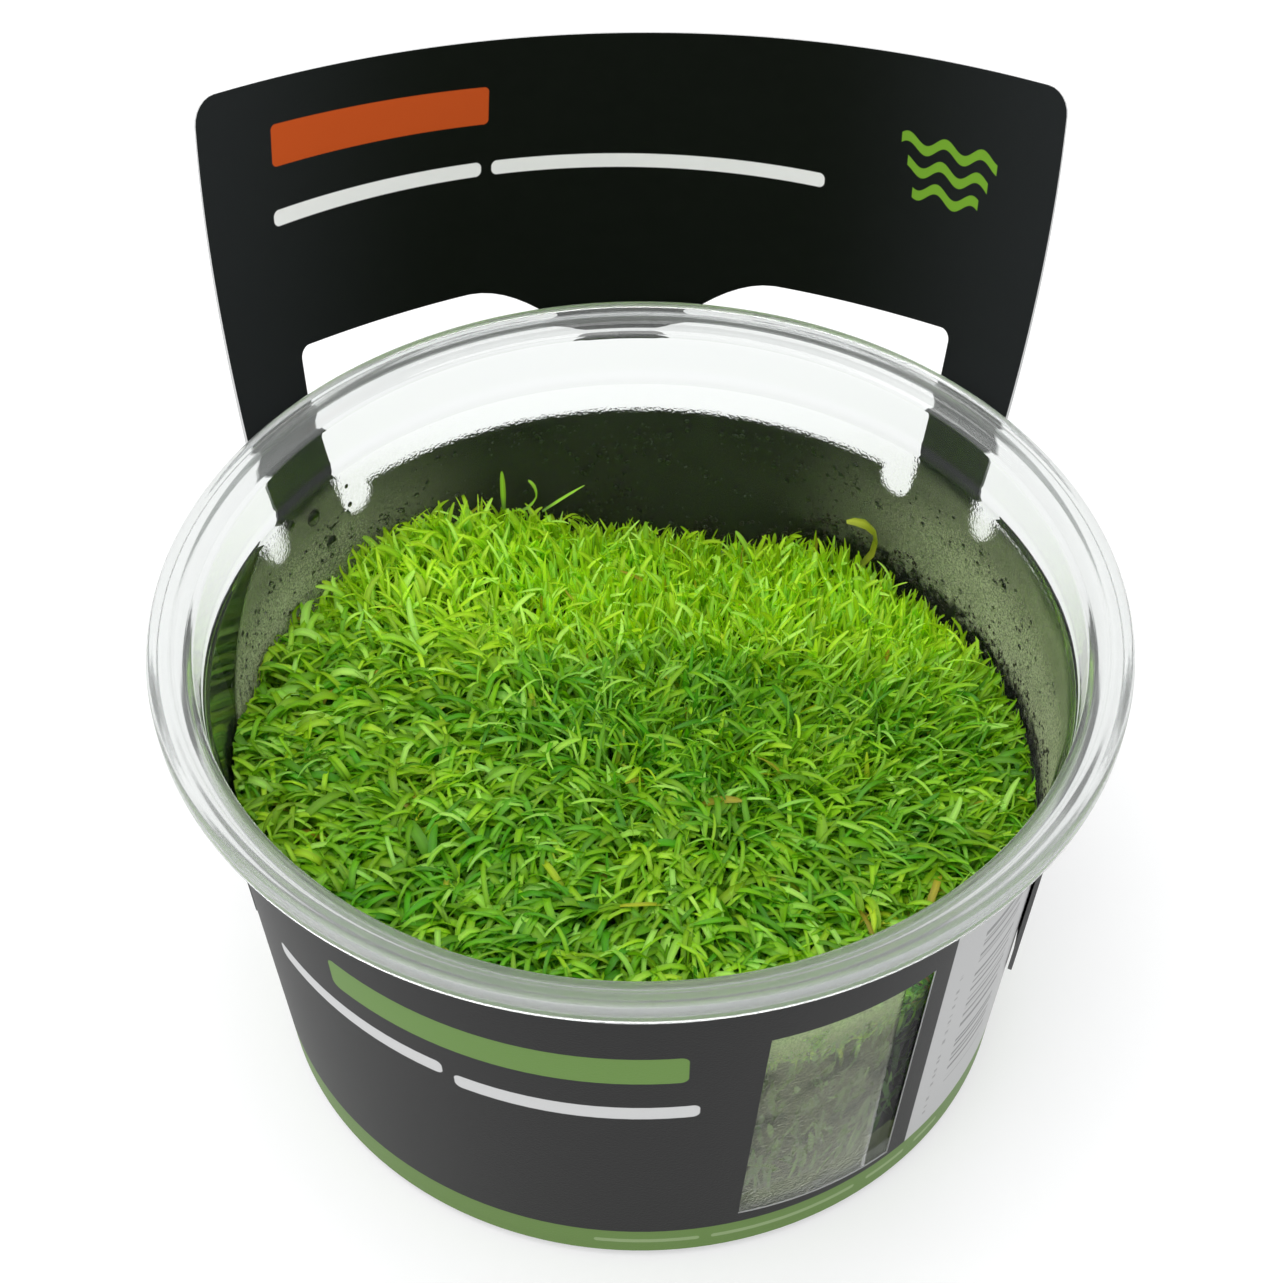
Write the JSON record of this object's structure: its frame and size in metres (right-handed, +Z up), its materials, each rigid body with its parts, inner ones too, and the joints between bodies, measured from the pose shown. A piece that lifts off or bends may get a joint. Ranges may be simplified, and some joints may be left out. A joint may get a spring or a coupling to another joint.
{
  "type": "tissue culture plant cup",
  "caption": "Round clear culture cup with a printed wrap and a raised header card, filled with a low carpet of narrow bright green leaves on clear gel.",
  "frame": {"origin": "middle of the cup's flat base", "axes": "+Z up the cup's axis, +Y towards the header card at the back, +X to the right seen from the front"},
  "size_m": [0.095, 0.1047, 0.0805],
  "materials": {
    "clear_plastic": "glossy, clear",
    "printed_film": "satin",
    "printed_card": "matte laminate",
    "culture_gel": "wet, clear",
    "leaves": "waxy leaf"
  },
  "bodies": {
    "root": {"cup": "clear_plastic", "wrap_label": "printed_film", "header_card": "printed_card", "nutrient_gel": "culture_gel", "leaf_carpet": "leaves"}
  },
  "joints": []
}
